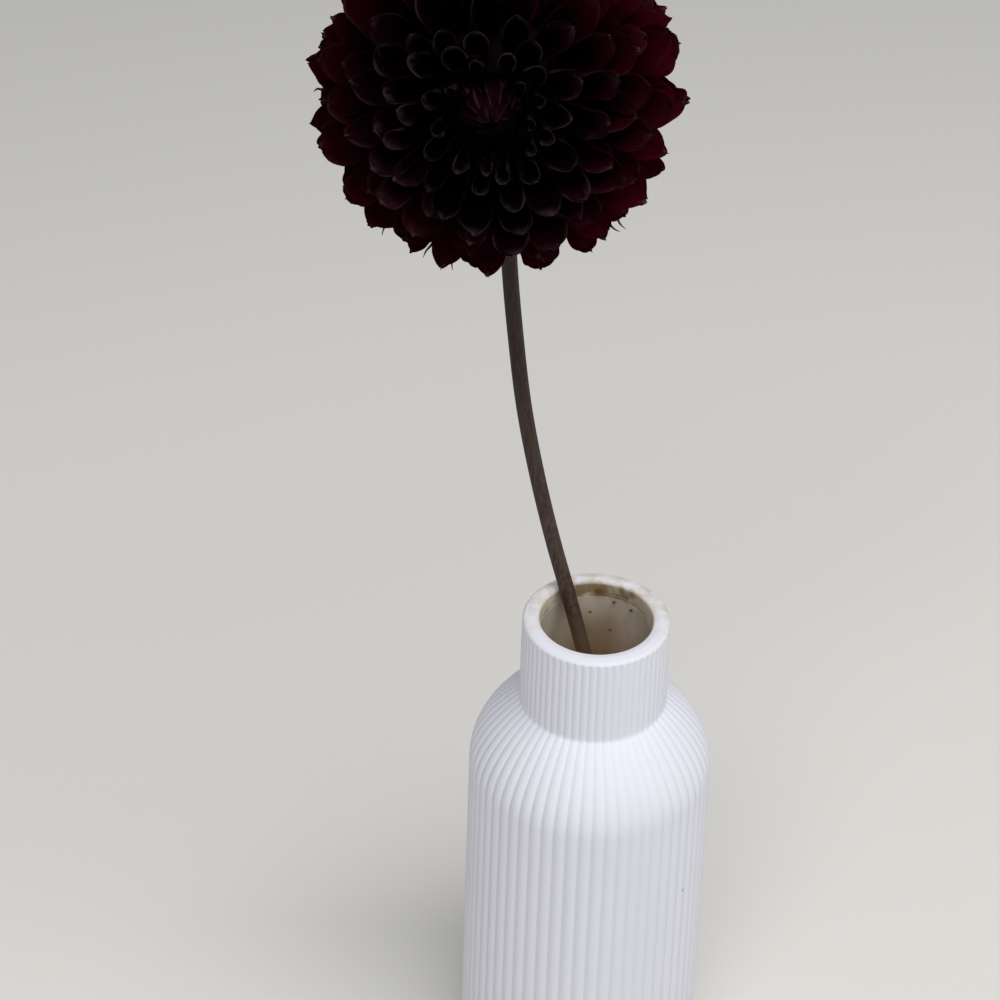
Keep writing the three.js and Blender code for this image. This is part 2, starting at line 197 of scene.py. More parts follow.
class ShapeBench(Bench):
    """A Geometry Nodes tree with named sizes, and the few steps that the trees here share."""

    def __init__(self, name, sizes):
        super().__init__(bpy.data.node_groups.new(name, "GeometryNodeTree"))
        face = self.tree.interface
        face.new_socket("Geometry", in_out="INPUT", socket_type="NodeSocketGeometry")
        face.new_socket("Geometry", in_out="OUTPUT", socket_type="NodeSocketGeometry")
        self.sizes = sizes
        for label, size in sizes.items():
            kind = "NodeSocketInt" if isinstance(size, int) else "NodeSocketFloat"
            face.new_socket(label, in_out="INPUT", socket_type=kind)
        entry = self.tree.nodes.new("NodeGroupInput")
        self.given = {label: Value(self, entry.outputs[label]) for label in ["Geometry", *sizes]}

    def store(self, geometry, name, value):
        settings = {"data_type": "FLOAT", "domain": "POINT"}
        sockets = {"Geometry": geometry, "Name": name, "Value": value}
        return self.node("GeometryNodeStoreNamedAttribute", settings, sockets)

    def recall(self, name):
        return self.node("GeometryNodeInputNamedAttribute", {"data_type": "FLOAT"}, {"Name": name})

    def blades(self, count, first):
        """Closed rods of radius and length 1, one for each number, all at the origin."""
        points = self.node("GeometryNodePoints", sockets={"Count": count})
        points = self.store(points, "number", self.node("GeometryNodeInputIndex") + first)
        rod = {"Vertices": self.given["Columns"], "Side Segments": self.given["Rows"]}
        rod = self.node("GeometryNodeMeshCylinder", sockets={**rod, "Radius": 1.0, "Depth": 1.0})
        placed = self.node("GeometryNodeInstanceOnPoints", sockets={"Points": points, "Instance": rod})
        return self.node("GeometryNodeRealizeInstances", sockets={"Geometry": placed})

    def moved(self, geometry, place):
        return self.node("GeometryNodeSetPosition", sockets={"Geometry": geometry, "Position": place})

    def settle(self, geometry, material, centre=(0, 0, 0), raised=0.0):
        """Millimetres to metres, the turn and place of the piece's own frame, and its finish."""
        sockets = {"Geometry": geometry, "Scale": (MM, MM, MM), "Rotation": (raised, 0, 0)}
        sockets["Translation"] = [MM * x for x in centre]
        placed = self.node("GeometryNodeTransform", sockets=sockets)
        smooth = self.node("GeometryNodeSetShadeSmooth", sockets={0: placed})
        real = self.node("GeometryNodeRealizeInstances", sockets={"Geometry": smooth})
        done = self.node("GeometryNodeSetMaterial", sockets={"Geometry": real, "Material": material})
        leave = self.tree.nodes.new("NodeGroupOutput")
        self.tree.links.new(done.socket, leave.inputs[0])

    def grow(self, name, start=None, **changed):
        """Runs the tree on a holder and keeps the result as a plain mesh object."""
        holder = bpy.data.objects.new(name, start or bpy.data.meshes.new(name))
        scene.collection.objects.link(holder)
        modifier = holder.modifiers.new("rule", "NODES")
        modifier.node_group = self.tree
        sizes = {**self.sizes, **{key.replace("_", " "): size for key, size in changed.items()}}
        for item in self.tree.interface.items_tree:
            if item.name in sizes:
                modifier[item.identifier] = sizes[item.name]
        bpy.context.view_layer.update()
        graph = bpy.context.evaluated_depsgraph_get()
        mesh = bpy.data.meshes.new_from_object(
            holder.evaluated_get(graph), preserve_all_data_layers=True, depsgraph=graph
        )
        holder.modifiers.remove(modifier)
        bpy.data.objects.remove(holder)
        mesh.name = name
        piece = bpy.data.objects.new(name, mesh)
        scene.collection.objects.link(piece)
        print(name, "has", sum(len(face.vertices) - 2 for face in mesh.polygons), "triangles")
        return piece


def stand_for(piece, slot, *nodes):
    """The piece rides on the one body and replaces CAD nodes; the slot, a finish of the record, is not used.
    """
    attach(piece, "root")
    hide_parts(*nodes)


print("a geometry tree knows", [name for name in vars(ShapeBench) if not name.startswith("_")])

# %% [markdown]
# ## Finishes
# A finish is a Principled shader. What is the same all over is set on its own sockets; what changes
# over the surface is worked out from the piece's own attributes or from its place.

# %% A helper for finishes


class FinishBench(Bench):
    """A material whose varying values are written as expressions."""

    def __init__(self, name, **constants):
        self.material = bpy.data.materials.new(name)
        self.material.use_nodes = True
        super().__init__(self.material.node_tree)
        self.shader = self.tree.nodes["Principled BSDF"]
        for label, value in constants.items():
            self.shader.inputs[label.replace("_", " ")].default_value = value

    def mark(self, name):
        """An attribute that a Geometry Nodes tree stored on the piece."""
        return self.node("ShaderNodeAttribute", {"attribute_name": name}, out=2)

    def place(self):
        return self.node("ShaderNodeTexCoord", out=3)

    def stretched(self, vector, x, y, z):
        return self.node("ShaderNodeMapping", sockets={"Vector": vector, "Scale": (x, y, z)})

    def noise(self, vector, scale, detail=3.0, roughness=0.5):
        sockets = {"Vector": vector, "Scale": scale, "Detail": detail, "Roughness": roughness}
        return self.node("ShaderNodeTexNoise", sockets=sockets)

    def mix(self, share, start, end):
        settings = {"data_type": "RGBA"}
        return self.node("ShaderNodeMix", settings, {0: share, 6: start, 7: end}, out=2)

    def near(self, centre, reach):
        """1 at a place on the piece, in millimetres, falling to 0 at a distance."""
        centre = [MM * x for x in centre]
        ends = {0: self.place(), 1: centre}
        apart = self.node("ShaderNodeVectorMath", {"operation": "DISTANCE"}, ends, out=1)
        return 1 - apart.smooth(0.25 * reach * MM, reach * MM)

    def vary(self, height=None, depth=0.0, **values):
        for label, value in values.items():
            self.tree.links.new(value.socket, self.shader.inputs[label.replace("_", " ")])
        if height is not None:
            bump = self.node("ShaderNodeBump", sockets={"Distance": depth * MM, "Height": height})
            self.tree.links.new(bump.socket, self.shader.inputs["Normal"])
        return self.material


print("a finish knows", [name for name in vars(FinishBench) if not name.startswith("_")])

# %% [markdown]
# Dahlia petals are covered in tiny cone-shaped cells that swallow light, so the petal is dark, with
# almost no gloss and a faint velvet sheen. In its hollow, towards its base and towards the eye, it is
# painted near black as shade. Its lip is painted with a soft sheen: a mauve crescent near the eye and
# a crimson one further out. The distance to the edge is known from the petal's formula, so no picture
# has to be painted: the tree stores it, and the finish reads it.

# %% Petal finish
HOLLOW_PAINTED_SHADE = (0.0004, 0.0003, 0.0006, 1)
MAROON = (0.0120, 0.0006, 0.0021, 1)
LIT_SIDE_CRIMSON = (0.0235, 0.0008, 0.0034, 1)
LIP_SHEEN_MAUVE = (0.034, 0.022, 0.034, 1)
LIP_SHEEN_CRIMSON = (0.042, 0.0055, 0.0095, 1)
WITHERED_TIP = (0.085, 0.050, 0.040, 1)
VELVET = (0.62, 0.22, 0.36, 1)
# The painted lip sheen's least width and how much luck adds to it, in millimetres.
LIP_WIDTH = 2.2
LIP_SPREAD = 2.6
# Across the head, the flesh turns from maroon to a painted lit crimson between these two, in metres.
HEAD_LEFT = -0.075
HEAD_RIGHT = 0.012


def petal_finish():
    bench = FinishBench("petal maroon", Roughness=0.6, Specular_IOR_Level=0.0)
    bench.shader.inputs["Sheen Weight"].default_value = 0.01
    bench.shader.inputs["Sheen Roughness"].default_value = 0.35
    bench.shader.inputs["Sheen Tint"].default_value = VELVET
    edge, along, across = bench.mark("edge"), bench.mark("along"), bench.mark("across")
    polar, number = bench.mark("polar"), bench.mark("number")
    luck = (number * 0.7548).fraction()
    lines = bench.noise(bench.vector(across * 14, along * 1.4, number * 3.7), 1.0, 4.0, 0.6)
    outward = (polar + 0.35 * (luck - 0.5)).smooth(0.45, 1.35)
    depth = along.smooth(0.45, 0.95)
    # Painted light: the flesh is crimson on the head's right side, where light falls, maroon on the left.
    painted_lit_side = bench.parts(bench.place())[0].smooth(HEAD_LEFT, HEAD_RIGHT)
    flesh = bench.mix(painted_lit_side, MAROON, LIT_SIDE_CRIMSON)
    # Painted shade: the flesh goes near black deep in each petal's hollow, towards its base and the eye.
    body = bench.mix(outward * (0.35 + 0.65 * depth) * (0.6 + 0.8 * lines), HOLLOW_PAINTED_SHADE, flesh)
    # Painted sheen on the lips: mauve near the eye, crimson further out, patchy along the edge.
    lip = bench.mix(outward, LIP_SHEEN_MAUVE, LIP_SHEEN_CRIMSON)
    soft = 1 - edge.smooth(0.0, LIP_WIDTH + LIP_SPREAD * luck)
    fine = 1 - edge.smooth(0.05, 0.5)
    open_end = 0.12 + 0.88 * along.smooth(0.72, 0.93)
    sheen_patches = bench.noise(bench.vector(across * 1.8, along * 4.5, number * 1.9), 1.0, 3.0, 0.6)
    patchy_sheen = sheen_patches.smooth(0.40, 0.66)
    pale = (soft * 0.66 + fine * 0.07) * open_end * (0.08 + patchy_sheen)
    pale = pale * (0.5 + lines) * (1 - 0.45 * outward)
    rimmed = bench.mix(pale.at_most(1.0), body, lip)
    tip = along.smooth(0.955, 0.995) * (1 - across.size().smooth(0.1, 0.5)) * luck
    colour = bench.mix(tip * 0.7, rimmed, WITHERED_TIP)
    return bench.vary(Base_Color=colour, height=lines, depth=0.22)


petal_maroon = petal_finish()
print("petal finish", petal_maroon.name)

# %% [markdown]
# ## The petals
# Every open petal sits on a golden-angle spiral round the head's axis, from the eye to the back.
# Near the eye it is rolled to a tight tube, further out it opens to a spoon. The rule is the one of
# the frame's solids, with many more points: a rod is unrolled by the formula, so that it is closed
# and has a rounded edge. A petal could be modelled once and copied, but then all would open alike:
# in a formula its roll, width and turn follow from its place on the spiral. Three pieces share the
# rule, each with its own stretch of numbers.

# %% Sizes of the flower head, in millimetres
HEAD_CENTRE = (-33.3, -6, 379.9)
HEAD_RAISE = math.radians(90 - 11)
GOLDEN_ANGLE = math.pi * (3 - math.sqrt(5))
PETALS = 200
PETAL_SIZES = {
    "Petals": PETALS,
    "First": 0,
    "Here": PETALS,
    "Columns": 36,
    "Rows": 22,
    "Head radius": 48.0,
    "Head front": 40.0,
    "Head back": 31.0,
    "First polar": math.radians(15.5),
    "Last polar": math.radians(150),
    "Crowding": 1.4,
    "Thickness": 0.56,
    "Solid thickness": 0.7,
    "Root share": 0.4,
    "Broad": 7.2,
}
# Angles: where from the eye a petal has opened, its least and its extra roll, and how far out the
# extra roll and the upright stance have faded.
OPENING = math.radians(38)
LEAST_ROLL = math.radians(48)
EXTRA_ROLL = math.radians(95)
ROLL_FADE = math.radians(50)
STANCE_FADE = math.radians(24)
print(PETALS, "petals on a head of radius", PETAL_SIZES["Head radius"], "mm")

# %% The petal rule


def petal_bench(material):
    bench = ShapeBench("petal rule", PETAL_SIZES)
    given = bench.given
    petals = bench.blades(given["Here"], given["First"])
    number = bench.recall("number")
    across, face, height = bench.parts(bench.node("GeometryNodeInputPosition"))

    first, last = given["First polar"].cosine(), given["Last polar"].cosine()
    share = ((number + 0.5) / given["Petals"]) ** given["Crowding"]
    polar = (first - share * (first - last)).arc_cosine()
    polar = polar + 0.05 * polar.sine() * (number * 2.3).sine()
    azimuth = number * GOLDEN_ANGLE + 0.09 * (number * 1.7).sine()
    reach = 1 + 0.035 * (number * 4.1).sine()
    backward = polar.smooth(1.6, 2.4)
    opened = 1 - (-((polar / OPENING) ** 1.5)).exponent() + 0.3 * backward
    tube = given["Broad"] * opened * (1 + 0.12 * (number * 3.7).sine())
    roll = LEAST_ROLL + EXTRA_ROLL * (polar / -ROLL_FADE).exponent()
    roll = roll * (1 + 0.1 * (number * 5.9).sine() + 0.08 * (number * 13.3).sine())
    bend = 0.03 - 0.065 * polar
    stand = 0.3 * (polar / -STANCE_FADE).exponent()
    turn = 0.3 * (number * 3.1).sine() + 0.15 * (number * 11.9).sine()

    out_x = polar.sine() * given["Head radius"]
    depth = given["Head back"] + (given["Head front"] - given["Head back"]) * polar.under(math.pi / 2)
    out_z = polar.cosine() * depth
    straight = (out_x * out_x + out_z * out_z).root()
    out_x, out_z, length = out_x / straight, out_z / straight, straight * reach

    along = 0.12 + 0.88 * (1 - (0.5 - height).at_least(0.0) ** 1.5)
    widest = (1 - 0.05 * tube).at_least(0.5)
    root = given["Root share"] + 0.25 * backward
    claw = root + (1 - root) * along.smooth(0.0, widest)
    past = ((along - widest) / (1 - widest)).at_least(0.0)
    outward = polar.smooth(0.5, 1.2)
    blunt = 0.10 + 0.08 * (number * 6.7).sine()
    taper = 1.9 + 0.5 * (number * 5.3).sine()
    pinch = 0.56 - 0.07 * outward + 0.2 * (number * 7.9).sine()
    end = ((1 - past**taper).at_least(0.0) ** pinch).at_least(blunt)
    wave = 1 + 0.07 * (along * 14 + number * 2.9 + across * 1.3).sine()
    width = tube * claw
    angle = across * roll * end * wave
    grooves = 0.09 * (across * 11).cosine() * (1 - across * across)
    ruffle = 0.22 * across.size().smooth(0.5, 1.0) * (along * 27 + number * 5).sine()
    half = 0.5 * given["Thickness"] * (1 - 0.5 * along.smooth(0.6, 1.0))
    radius = width - 0.5 * given["Solid thickness"] - face * half + grooves + ruffle
    sideways = radius * angle.sine()
    raised = width - radius * angle.cosine()
    teeth = 0.5 * (across * 9 + number).cosine() + 0.3 * (across * 17 + number * 2.3).cosine()
    teeth = teeth - across.size()
    point = (0.006 + 0.027 * outward) * along.smooth(0.9, 1.0) * (1 + teeth)
    curl = 0.03 * outward * (number * 8.3).sine() * along**3
    cup = width * (1 - roll.cosine()) * (1 - end) * (0.12 + 0.2 * outward)
    flare = tube * past * past * (0.3 - 0.2 * outward)

    forth = length * (given["Root share"] + (1 - given["Root share"]) * (along + point))
    lift = length * (bend * along * along - stand * (1 - along) + curl)
    lift = lift + cup - flare + raised * turn.cosine() - sideways * turn.sine()
    aside = sideways * turn.cosine() + raised * turn.sine()
    away = out_x * forth - out_z * lift
    x = away * azimuth.cosine() - aside * azimuth.sine()
    y = away * azimuth.sine() + aside * azimuth.cosine()
    z = out_z * forth + out_x * lift

    side_gap = (1 - across.size()) * roll * end * width
    tip_gap = (1 - along) * length * (1 - given["Root share"])
    marks = {"edge": side_gap.at_most(tip_gap), "along": along, "across": across, "polar": polar}
    for name, value in marks.items():
        petals = bench.store(petals, name, value)
    bench.settle(bench.moved(petals, bench.vector(x, y, z)), material, HEAD_CENTRE, HEAD_RAISE)
    return bench


petal_rule = petal_bench(petal_maroon)
STRETCHES = {"petals_front": (0, 60), "petals_side": (60, 60), "petals_back": (120, PETALS - 120)}
for name, (first, here) in STRETCHES.items():
    stand_for(petal_rule.grow(name, First=first, Here=here), "petal_maroon", "bloom")

# %% [markdown]
# ## The receptacle
# The petals grow out of a solid heart. On the real flower it is small and the petals' claws hide
# it; here it is the frame's core drawn in a little. A ball would be simpler, but an outline that is
# turned round the axis follows the petals' roots. Its finish is painted near black as shade, because
# only the dark between the petals shows of it.

# %% Turning an outline


def turned_mesh(name, outline, segments, marks=None):
    """An outline of (radius, height) in millimetres, from axis to axis, turned round Z."""
    mesh = bpy.data.meshes.new(name)
    shape = bmesh.new()
    mark = shape.verts.layers.float.new("outer")
    rings = []
    for place, (radius, height) in enumerate(outline):
        count = 1 if radius == 0 else segments
        ring = []
        for step in range(count):
            angle = 2 * math.pi * step / segments
            vertex = shape.verts.new((radius * math.cos(angle), radius * math.sin(angle), height))
            vertex[mark] = marks[place] if marks else 0
            ring.append(vertex)
        rings.append(ring)
    for lower, upper in zip(rings, rings[1:]):
        for step in range(segments):
            a, b = lower[step % len(lower)], lower[(step + 1) % len(lower)]
            c, d = upper[(step + 1) % len(upper)], upper[step % len(upper)]
            corners = [a, b, c, d]
            shape.faces.new([v for i, v in enumerate(corners) if v not in corners[:i]])
    shape.to_mesh(mesh)
    shape.free()
    return mesh


def placed_bench(name, material, *place):
    """A tree that only puts a turned mesh in its place."""
    bench = ShapeBench(name, {})
    bench.settle(bench.given["Geometry"], material, *place)
    return bench


HEART = [
    (0, -27),
    (9.8, -27),
    (11.2, -22),
    (17.8, -14),
    (23, -6),
    (24.2, 3),
    (19.5, 13.5),
    (11, 18.5),
    (0, 19.5),
]
print("half outline of the receptacle:", len(HEART), "points")

# %% The receptacle and its finish
HEART_SIDES = 48
HEART_SHADE_BLACK = (0.002, 0.0005, 0.001, 1)
HEART_BROWN = (0.006, 0.001, 0.002, 1)


def heart_finish():
    bench = FinishBench("receptacle", Roughness=0.8, Specular_IOR_Level=0.05)
    grain = bench.noise(bench.place(), 900.0)
    # Painted shade: near black, as the dark between the petals.
    colour = bench.mix(grain, HEART_SHADE_BLACK, HEART_BROWN)
    return bench.vary(Base_Color=colour, height=grain, depth=0.3)


heart_place = placed_bench("head place", heart_finish(), HEAD_CENTRE, HEAD_RAISE)
heart = heart_place.grow("receptacle", turned_mesh("heart", HEART, HEART_SIDES))
stand_for(heart, "petal_maroon", "bloom")

# %% [markdown]
# ## The eye
# In the middle the florets haven't opened: they are pointed buds that lean together over a low
# dome, magenta-black with paler lengthwise streaks. One bud could be copied, but a formula lets each
# lean and twist by its own number. The dome under them is turned and joined to the same mesh. The
# streaks are noise drawn out along each bud, so that they bend with it.

# %% The closed florets' sizes and finish
FLORET_SIZES = {
    "Florets": 26,
    "Columns": 22,
    "Rows": 16,
    "Eye radius": 10.2,
    "Dome": 8.0,
    "Seat": 20.0,
    "Girth": 2.0,
    "Length": 9.5,
}
FLORET_SHADE = (0.001, 0.0003, 0.0008, 1)
FLORET_FLESH = (0.0066, 0.0003, 0.0025, 1)
FLORET_STREAK = (0.058, 0.026, 0.040, 1)
# The eye turns from painted shade below to painted light above between these heights, in metres.
EYE_LIGHT_HEIGHTS = (0.378, 0.391)


def floret_finish():
    bench = FinishBench("floret purple", Roughness=0.55, Specular_IOR_Level=0.01)
    around, along, number = bench.mark("around"), bench.mark("along"), bench.mark("number")
    lines = bench.noise(bench.vector(around * 5.5, along * 0.8, number * 2.3), 1.0, 4.0, 0.65)
    upper = bench.parts(bench.place())[2].smooth(*EYE_LIGHT_HEIGHTS)
    luck = (number * 0.618).fraction()
    # Painted light: streaks and flesh are lighter on the eye's upper side; the buds' lower parts are painted
    # in shade.
    streak = lines.smooth(0.55, 0.64) * along.smooth(0.2, 0.7) * (0.1 + 0.9 * upper) * (0.1 + 0.9 * luck)
    flesh = bench.mix(upper * along.smooth(0.1, 0.7), FLORET_SHADE, FLORET_FLESH)
    colour = bench.mix(streak, flesh, FLORET_STREAK)
    return bench.vary(Base_Color=colour, height=lines, depth=0.3)


floret_purple = floret_finish()
print(FLORET_SIZES["Florets"], "closed florets, finish", floret_purple.name)

# %% The floret rule


def floret_bench(material):
    bench = ShapeBench("floret rule", FLORET_SIZES)
    given = bench.given
    buds = bench.blades(given["Florets"], 0)
    number = bench.recall("number")
    x, y, height = bench.parts(bench.node("GeometryNodeInputPosition"))
    along = height + 0.5
    around = y.arc_tangent(x)

    share = ((number + 0.5) / given["Florets"]).root()
    seat = given["Seat"] + given["Dome"] * (1 - 0.92 * share * share) - 0.5
    turn = number * GOLDEN_ANGLE
    length = given["Length"] * (0.55 + 0.45 * share) * (1 + 0.16 * (number * 2.7).sine())
    length = length * (1 + 0.22 * turn.sine() * share)
    belly = (along * math.pi * 0.93 + 0.2).sine().at_least(0.0) ** 0.75
    folds = 1 + 0.13 * (around * 3 + along * 3 + number).cosine()
    radius = given["Girth"] * belly * folds
    bud_x, bud_y = 0.75 * radius * around.cosine(), 1.15 * radius * around.sine()
    sweep = length * (0.1 + 0.55 * share) * (0.3 * along + 0.7 * along * along)
    forward_x = bud_x + share * (given["Eye radius"] - 0.6) - sweep
    forward_z = seat + length * along * (1 - 0.2 * share * along) + bud_x * share * 0.6
    turn = turn + 0.4 * along * (number * 1.9).sine()
    nod = 1.2 * along * along
    place = bench.vector(
        forward_x * turn.cosine() - bud_y * turn.sine() + nod,
        forward_x * turn.sine() + bud_y * turn.cosine() - nod,
        forward_z,
    )
    buds = bench.store(bench.store(buds, "around", around), "along", along)
    dome = bench.store(given["Geometry"], "along", 0.0)
    both = bench.node("GeometryNodeJoinGeometry", sockets={"Geometry": bench.moved(buds, place)})
    bench.tree.links.new(dome.socket, both.socket.node.inputs["Geometry"])
    bench.settle(both, material, HEAD_CENTRE, HEAD_RAISE)
    return bench


DOME = [(0, 20), (8.6, 20), (8.3, 22.6), (6.3, 25.9), (3.3, 27.3), (0, 27.8)]
DOME_SIDES = 32
eye = floret_bench(floret_purple).grow("closed_floret_dome", turned_mesh("dome", DOME, DOME_SIDES))
stand_for(eye, "floret_purple", "closed_florets")

# %% [markdown]
# ## The stem
# The bare stem follows one smooth path: from the vase's floor it leans on the rim, straightens, and
# nods into the back of the head. The path is the frame's, a curve through named points, and
# Geometry Nodes sweep a ring along it. A row of cylinders would show its joints; a swept ring keeps
# its thickness in every bend and takes fine lengthwise ridges. Its skin is purple-brown, with olive
# patches and a paler part under the water. Noise drawn out along the height gives the fine streaks.

# %% The stem's path
CALYX_BACK = -34
GAP = 0.3


def head_place(x, y, z):
    """A place in the head's own frame, whose +Z comes out of the eye, as a place in the vase's."""
    sine, cosine = math.sin(HEAD_RAISE), math.cos(HEAD_RAISE)
    side, back, height = HEAD_CENTRE
    return (side + x, back + y * cosine - z * sine, height + y * sine + z * cosine)


STEM_POINTS = [
    (22.2, -21.2, 6.6),
    (20.1, -18.4, 60),
    (12.9, -10.6, 112),
    (2.1, 0.6, 160.6),
    (-8.4, 10.8, 195.9),
    (-15.2, 16.4, 217.4),
    (-20.8, 20.9, 238.4),
    (-25.7, 25.2, 261.4),
    (-29.0, 29.2, 284.8),
    (-31.3, 32.4, 306.3),
    (-32.8, 34.8, 332.3),
    (-33.3, 35.4, 352.3),
    (-33.3, 33.2, 364.3),
    head_place(0, 0, CALYX_BACK - GAP - 2.5),
    head_place(0, 0, CALYX_BACK - GAP),
]


def smooth_path(points, steps):
    """A centripetal Catmull-Rom curve through the points, steps to a stretch."""
    points = [np.array(point, float) for point in points]
    points = [2 * points[0] - points[1], *points, 2 * points[-1] - points[-2]]
    path = []
    for a, b, c, d in zip(points, points[1:], points[2:], points[3:]):
        before, here, after = (math.sqrt(np.linalg.norm(q - p)) for p, q in ((a, b), (b, c), (c, d)))
        leave = here * ((b - a) / before - (c - a) / (before + here) + (c - b) / here)
        reach = here * ((c - b) / here - (d - b) / (here + after) + (d - c) / after)
        for t in np.arange(steps) / steps:
            cubic = (2 * b - 2 * c + leave + reach) * t**3
            path.append(cubic + (3 * c - 3 * b - 2 * leave - reach) * t**2 + leave * t + b)
    return [*path, points[-2]]


print("stem path through", len(STEM_POINTS), "points")

# %% The stem's finish
SKIN_DARK = (0.026, 0.014, 0.012, 1)
SKIN_PALE = (0.075, 0.042, 0.032, 1)
SKIN_OLIVE = (0.060, 0.050, 0.026, 1)
SKIN_WET = (0.050, 0.040, 0.026, 1)
SKIN_TOP = (0.013, 0.004, 0.005, 1)
# Heights in metres: where the skin is wet below, and where it turns darker above.
WET_LINE = (0.188, 0.196)
UPPER_STEM = (0.20, 0.28)


def stem_finish():
    bench = FinishBench("stem skin", Roughness=0.55, Specular_IOR_Level=0.3)
    place = bench.place()
    height = bench.parts(place)[2]
    streaks = bench.noise(bench.stretched(place, 1, 1, 0.035), 1500.0, 3.0, 0.6)
    patches = bench.noise(bench.stretched(place, 1, 1, 0.15), 260.0, 2.0)
    skin = bench.mix(streaks.smooth(0.35, 0.7), SKIN_DARK, SKIN_PALE)
    olive = bench.mix(patches.smooth(0.52, 0.68) * 0.5, skin, SKIN_OLIVE)
    wet = 1 - height.smooth(*WET_LINE)
    lower = bench.mix(wet * 0.5, olive, SKIN_WET)
    colour = bench.mix(height.smooth(*UPPER_STEM) * 0.55, lower, SKIN_TOP)
    return bench.vary(Base_Color=colour, height=streaks, depth=0.25)


stem_skin = stem_finish()
print("stem finish", stem_skin.name)

# %% The stem
STEM_SIZES = {"Radius": 2.45, "Sides": 28, "Ridge": 0.06, "Taper": 0.0}
STEM_STEPS = 12


def stem_bench(material):
    bench = ShapeBench("stem rule", STEM_SIZES)
    given = bench.given
    curve = bench.node("GeometryNodeMeshToCurve", sockets={0: given["Geometry"]})
    sizes = {"Resolution": given["Sides"], "Radius": given["Radius"]}
    ring = bench.node("GeometryNodeCurvePrimitiveCircle", sockets=sizes)
    thin = 1 - given["Taper"] * bench.node("GeometryNodeSplineParameter") ** 2
    sweep = {"Curve": curve, "Profile Curve": ring, "Scale": thin, "Fill Caps": True}
    skin = bench.node("GeometryNodeCurveToMesh", sockets=sweep)
    normal = bench.node("GeometryNodeInputNormal")
    side, front, _ = bench.parts(normal)
    ridge = given["Ridge"] * (front.arc_tangent(side) * 7).cosine()
    out = bench.node("ShaderNodeVectorMath", {"operation": "SCALE"}, {0: normal, "Scale": ridge})
    skin = bench.node("GeometryNodeSetPosition", sockets={"Geometry": skin, "Offset": out})
    bench.settle(skin, material)
    return bench


def path_mesh(name, points):
    mesh = bpy.data.meshes.new(name)
    mesh.from_pydata([tuple(point) for point in points], [(i, i + 1) for i in range(len(points) - 1)], [])
    return mesh


stem_path = path_mesh("stem path", smooth_path(STEM_POINTS, STEM_STEPS))
stem = stem_bench(stem_skin).grow("bare_stem", stem_path)
stand_for(stem, "stem_skin", "stem")

# %% [markdown]
# A few petal edges have withered and torn: thin dark shreds curl off the head's outline. Paint can't
# show in an outline, so they are real pieces, swept by the stem's rule with a taper.

# %% Withered shreds
# Direction round the head in degrees; then where it starts, its length and its sideways curl, in mm.
SHREDS = [
    (31, 42.5, 4.6, 2.2),
    (183, 46.0, 2.8, 0.6),
    (229, 45.0, 7.2, -1.3),
    (233, 45.0, 6.8, 0.8),
    (249, 45.5, 6.6, -0.8),
    (257, 45.5, 6.6, 0.7),
    (311, 45.2, 6.0, 1.0),
    (314, 45.5, 6.6, -0.6),
]
SHRED_RADIUS = 0.42
SHRED_DEPTH = -3.0
SHRED_DARK = (0.012, 0.001, 0.002, 1)
SHRED_BROWN = (0.050, 0.022, 0.012, 1)


def shred_points(degrees, start, length, curl):
    turn = math.radians(degrees)
    points = []
    for t in np.linspace(0, 1, 9):
        out, side = start + length * t, curl * t * t + 0.25 * math.sin(7 * t)
        x = out * math.cos(turn) - side * math.sin(turn)
        y = out * math.sin(turn) + side * math.cos(turn)
        points.append(head_place(x, y, SHRED_DEPTH + 1.5 * curl * t))
    return points


def shred_finish():
    bench = FinishBench("withered edge", Roughness=0.7, Specular_IOR_Level=0.1)
    patches = bench.noise(bench.place(), 700.0)
    return bench.vary(Base_Color=bench.mix(patches, SHRED_DARK, SHRED_BROWN))


shred_rule = stem_bench(shred_finish())
for count, shred in enumerate(SHREDS, 1):
    name = f"withered_shred_{count}"
    path = path_mesh(name, shred_points(*shred))
    piece = shred_rule.grow(name, path, Radius=SHRED_RADIUS, Sides=8, Ridge=0.0, Taper=0.85)
    stand_for(piece, "petal_maroon", "bloom")

# %% [markdown]
# ## The calyx
# Behind the head the stem swells to a cup with two rings of bracts: broad ones that hug the petals
# and small leafy ones that curl back. The cup is turned, and the bracts are rods pressed flat by a
# formula, as the petals are, so that they are closed and keep their thickness. Their dull green is
# speckled by fine noise.

# %% The bracts' sizes and finish
BRACT_SIZES = {
    "Bracts": 8,
    "Columns": 24,
    "Rows": 14,
    "Offset": 0.15,
    "Half width": 4.6,
    "Root": 6.2,
    "Reach": 16.2,
    "Root height": -28.9,
    "Droop": 1.0,
    "Curl": 0.007,
    "Thickness": 0.6,
}
BRACT_DARK = (0.045, 0.050, 0.018, 1)
BRACT_PALE = (0.085, 0.075, 0.030, 1)


def bract_finish():
    bench = FinishBench("bract green", Roughness=0.6, Specular_IOR_Level=0.25)
    place = bench.place()
    speckle = bench.noise(place, 420.0, 4.0)
    colour = bench.mix(speckle.smooth(0.35, 0.65), BRACT_DARK, BRACT_PALE)
    return bench.vary(Base_Color=colour, height=speckle, depth=0.3)


bract_green = bract_finish()
print("bract finish", bract_green.name)

# %% Bracts and cup


